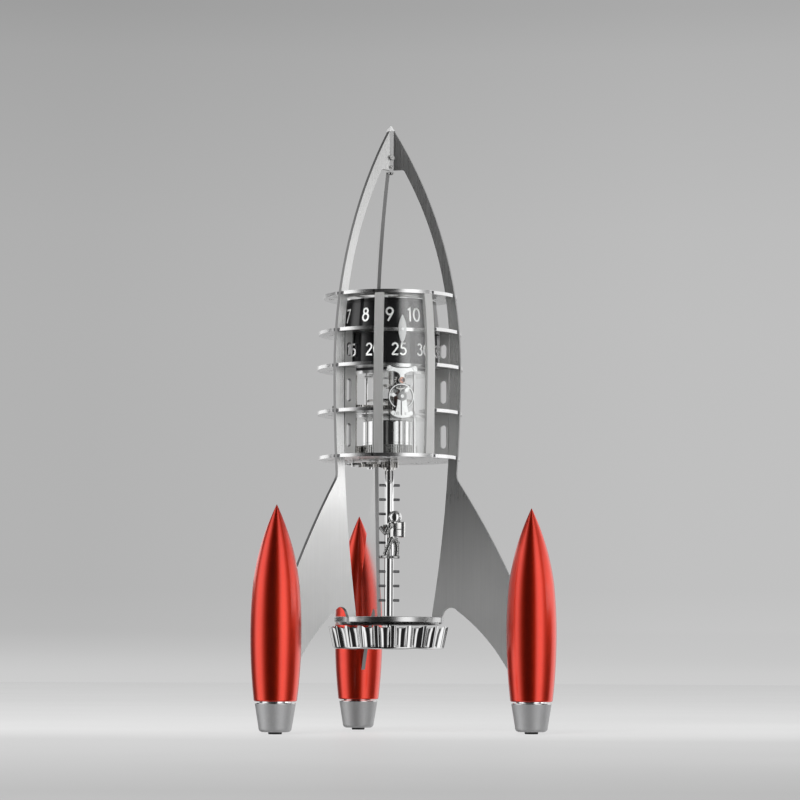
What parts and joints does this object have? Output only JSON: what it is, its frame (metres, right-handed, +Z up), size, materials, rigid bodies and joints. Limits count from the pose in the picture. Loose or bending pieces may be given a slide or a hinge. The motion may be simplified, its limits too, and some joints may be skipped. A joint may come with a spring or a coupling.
{
  "type": "rocket-shaped mechanical desk clock",
  "caption": "Skeleton rocket desk clock on red pod feet, with hour and minute drums, a front regulator, a ladder with an astronaut and a fluted winding crown.",
  "frame": {"origin": "foot of the rocket's vertical axis, on the surface it stands on", "axes": "+Z up along the rocket's axis; -Y towards the front, where the pointer, the regulator and the window are; +X to the right seen from the front"},
  "size_m": [0.207, 0.1838, 0.414],
  "materials": {
    "brushed_steel": "vertically brushed stainless steel, satin",
    "polished_steel": "mirror polished and rhodium plated",
    "red_anodised": "candy red anodised aluminium, satin gloss",
    "blasted_aluminium": "bead blasted, with a polished lip",
    "rubber_pad": "matt black rubber",
    "black_drum": "gloss black with white printed numbers",
    "window_glass": "clear mineral glass",
    "hairspring_alloy": "copper coloured spring alloy",
    "plated_movement": "palladium plated, finely grained",
    "pointer_silver": "matt silver"
  },
  "bodies": {
    "frame": {"fin_left": "brushed_steel", "fin_right": "brushed_steel", "fin_rear": "brushed_steel", "pod_left": "red_anodised", "pod_right": "red_anodised", "pod_rear": "red_anodised", "pod_foot_left": "blasted_aluminium", "pod_foot_right": "blasted_aluminium", "pod_foot_rear": "blasted_aluminium", "foot_pads": "rubber_pad", "nose_post": "polished_steel", "nose_tip": "polished_steel", "nose_fasteners": "polished_steel", "ring_plate_1": "brushed_steel", "ring_plate_2": "brushed_steel", "ring_plate_3": "brushed_steel", "ring_plate_4": "brushed_steel", "ring_plate_5": "brushed_steel", "front_post_left": "brushed_steel", "front_post_right": "brushed_steel", "window_glass": "window_glass", "panel_left": "brushed_steel", "panel_right": "brushed_steel", "panel_rear": "brushed_steel", "movement_pillars": "polished_steel", "barrel_bridge": "brushed_steel", "train_bridge": "brushed_steel", "movement_studs": "polished_steel", "click_spring": "polished_steel", "regulator_plate": "brushed_steel", "regulator_cock": "polished_steel", "balance_bridge": "polished_steel", "front_screws": "polished_steel", "pointer": "pointer_silver", "base_disc": "brushed_steel", "ladder_column": "polished_steel", "ladder_rungs": "polished_steel"},
    "winding": {"winding_crown": "polished_steel", "winding_shaft": "polished_steel", "winding_gear": "plated_movement"},
    "ratchet": {"ratchet_wheel": "plated_movement"},
    "click_lever": {"click": "plated_movement"},
    "barrel_drum": {"barrel": "polished_steel", "barrel_cover": "polished_steel", "mainspring": "polished_steel"},
    "second": {"second_wheel": "plated_movement"},
    "centre": {"centre_wheel": "plated_movement"},
    "third": {"third_wheel": "plated_movement"},
    "escape": {"escape_wheel": "plated_movement"},
    "pallets": {"pallet_fork": "plated_movement"},
    "balance": {"balance_wheel": "plated_movement", "hairspring": "hairspring_alloy"},
    "minutes": {"minute_drum": "black_drum", "cannon_pinion": "plated_movement"},
    "motion": {"motion_wheel": "plated_movement"},
    "hours": {"hour_drum": "black_drum", "hour_wheel": "plated_movement"},
    "setting": {"setting_knob": "plated_movement"},
    "astronaut": {"astronaut_body": "polished_steel", "astronaut_helmet": "polished_steel"}
  },
  "joints": [
    {"name": "crown_turn", "type": "hinge", "parent": "frame", "child": "winding", "pos_m": [0, 0, 0], "axis": [0, 0, 1], "continuous": true},
    {"name": "ratchet_turn", "type": "hinge", "parent": "frame", "child": "ratchet", "pos_m": [-0.01274, 0.00271, 0], "axis": [0, 0, 1], "continuous": true},
    {"name": "click_lift", "type": "hinge", "parent": "frame", "child": "click_lever", "pos_m": [-0.02252, 0.01197, 0], "axis": [0, 0, 1], "range_deg": [0, 8], "stiffness_Nm_per_rad": 0.00002, "springref_deg": -5.73},
    {"name": "centre_turn", "type": "hinge", "parent": "frame", "child": "centre", "pos_m": [0, 0, 0], "axis": [0, 0, 1], "continuous": true},
    {"name": "barrel_turn", "type": "hinge", "parent": "frame", "child": "barrel_drum", "pos_m": [0, 0, 0], "axis": [0, 0, 1], "continuous": true},
    {"name": "second_turn", "type": "hinge", "parent": "frame", "child": "second", "pos_m": [-0.02339, 0.00082, 0], "axis": [0, 0, 1], "continuous": true},
    {"name": "third_turn", "type": "hinge", "parent": "frame", "child": "third", "pos_m": [0, -0.0195, 0], "axis": [0, 0, 1], "continuous": true},
    {"name": "escape_turn", "type": "hinge", "parent": "frame", "child": "escape", "pos_m": [0, -0.0335, 0.2356], "axis": [0, -1, 0], "continuous": true},
    {"name": "pallet_rock", "type": "hinge", "parent": "frame", "child": "pallets", "pos_m": [0, -0.0335, 0.2298], "axis": [0, -1, 0], "range_deg": [-5, 5]},
    {"name": "balance_swing", "type": "hinge", "parent": "frame", "child": "balance", "pos_m": [0, -0.0358, 0.2248], "axis": [0, -1, 0], "range_deg": [-270, 270], "stiffness_Nm_per_rad": 0.000006},
    {"name": "minute_turn", "type": "hinge", "parent": "frame", "child": "minutes", "pos_m": [0, 0, 0], "axis": [0, 0, 1], "continuous": true},
    {"name": "motion_turn", "type": "hinge", "parent": "frame", "child": "motion", "pos_m": [0, 0.0126, 0], "axis": [0, 0, 1], "continuous": true},
    {"name": "hour_turn", "type": "hinge", "parent": "frame", "child": "hours", "pos_m": [0, 0, 0], "axis": [0, 0, 1], "continuous": true},
    {"name": "setting_turn", "type": "hinge", "parent": "frame", "child": "setting", "pos_m": [0.00117, -0.02237, 0], "axis": [0, 0, 1], "continuous": true},
    {"name": "astronaut_pull", "type": "slide", "parent": "frame", "child": "astronaut", "axis": [0, -1, 0], "range_m": [0, 0.02]}
  ],
  "couplings": [
    {"joint": "ratchet_turn", "follows": "crown_turn", "ratio": -0.75},
    {"joint": "barrel_turn", "follows": "centre_turn", "ratio": 0.125},
    {"joint": "second_turn", "follows": "centre_turn", "ratio": -0.5},
    {"joint": "third_turn", "follows": "centre_turn", "ratio": -3.3333},
    {"joint": "escape_turn", "follows": "centre_turn", "ratio": -13.333},
    {"joint": "motion_turn", "follows": "minute_turn", "ratio": -0.33333},
    {"joint": "hour_turn", "follows": "minute_turn", "ratio": 0.083333},
    {"joint": "setting_turn", "follows": "minute_turn", "ratio": -2.5556}
  ]
}
